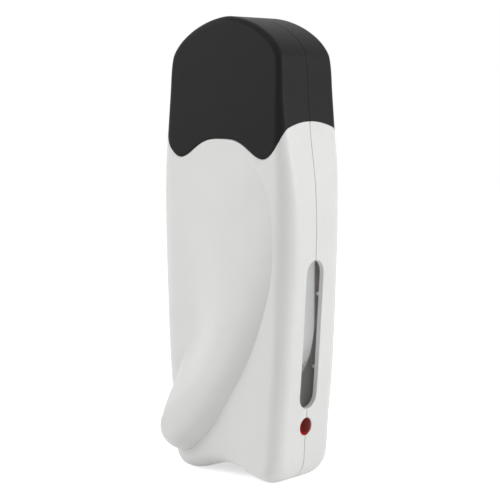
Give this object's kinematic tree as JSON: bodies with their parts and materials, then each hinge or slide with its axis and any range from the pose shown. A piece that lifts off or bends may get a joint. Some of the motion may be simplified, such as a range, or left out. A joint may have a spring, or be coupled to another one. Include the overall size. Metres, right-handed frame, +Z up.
{
  "type": "roll-on wax heater",
  "caption": "Hand-held heater for roll-on wax cartridges: flat two-shell case with raised finger grip, level window and pilot lamp under a lift-off cap.",
  "frame": {"origin": "on the ground under the middle of the case's bounding box, where its two feet stand", "axes": "+Z up along the case's length; the broad front with the raised grip faces -Y; the level window is on the +X side"},
  "size_m": [0.0804, 0.052, 0.215],
  "materials": {
    "black_abs": "satin moulded black ABS",
    "white_abs": "satin moulded white ABS",
    "white_pbt": "matt heat-resistant white PBT",
    "black_pbt": "matt black PBT",
    "zinc_steel": "bright zinc plated",
    "drawn_aluminium": "drawn and satin",
    "ceramic_paper": "soft ceramic-fibre paper",
    "dark_steel": "brushed, darkened by heat",
    "bright_pin": "turned, bright",
    "ptc_ceramic": "pressed ceramic in a foil sleeve",
    "spring_steel": "rolled spring steel",
    "phenolic": "moulded phenolic",
    "fuse_can": "drawn brass can",
    "clear_polycarbonate": "clear moulded polycarbonate",
    "red_acrylic": "clear red acrylic",
    "lamp_glass": "blown glass",
    "resistor_body": "painted ceramic",
    "nickel_brass": "nickel-plated brass",
    "live_wire": "brown silicone insulation",
    "neutral_wire": "blue silicone insulation",
    "sleeved_wire": "woven glass sleeve"
  },
  "bodies": {
    "case": {"front_shell": "white_abs", "rear_shell": "white_abs", "case_screws": "zinc_steel", "well_collar": "white_pbt", "heating_chamber": "drawn_aluminium", "chamber_cradle": "white_pbt", "cradle_screws": "zinc_steel", "front_insulation": "ceramic_paper", "rear_insulation": "ceramic_paper", "heat_shield": "dark_steel", "shield_pins": "bright_pin", "ptc_heater": "ptc_ceramic", "heater_clamp": "spring_steel", "thermostat": "phenolic", "thermal_fuse": "fuse_can", "window_lens": "clear_polycarbonate", "pilot_lens": "red_acrylic", "neon_lamp": "lamp_glass", "lamp_holder": "white_pbt", "lamp_resistor": "resistor_body", "power_inlet": "black_pbt", "inlet_pins": "nickel_brass", "live_lead": "live_wire", "neutral_lead": "neutral_wire", "terminal_block": "white_pbt", "terminal_screws": "zinc_steel", "fuse_lead": "live_wire", "thermostat_lead": "neutral_wire", "lamp_lead": "sleeved_wire"},
    "cap": {"cap": "black_abs"}
  },
  "joints": [
    {"name": "cap_lift", "type": "slide", "parent": "case", "child": "cap", "axis": [0, 0, 1], "range_m": [0, 0.08]}
  ]
}
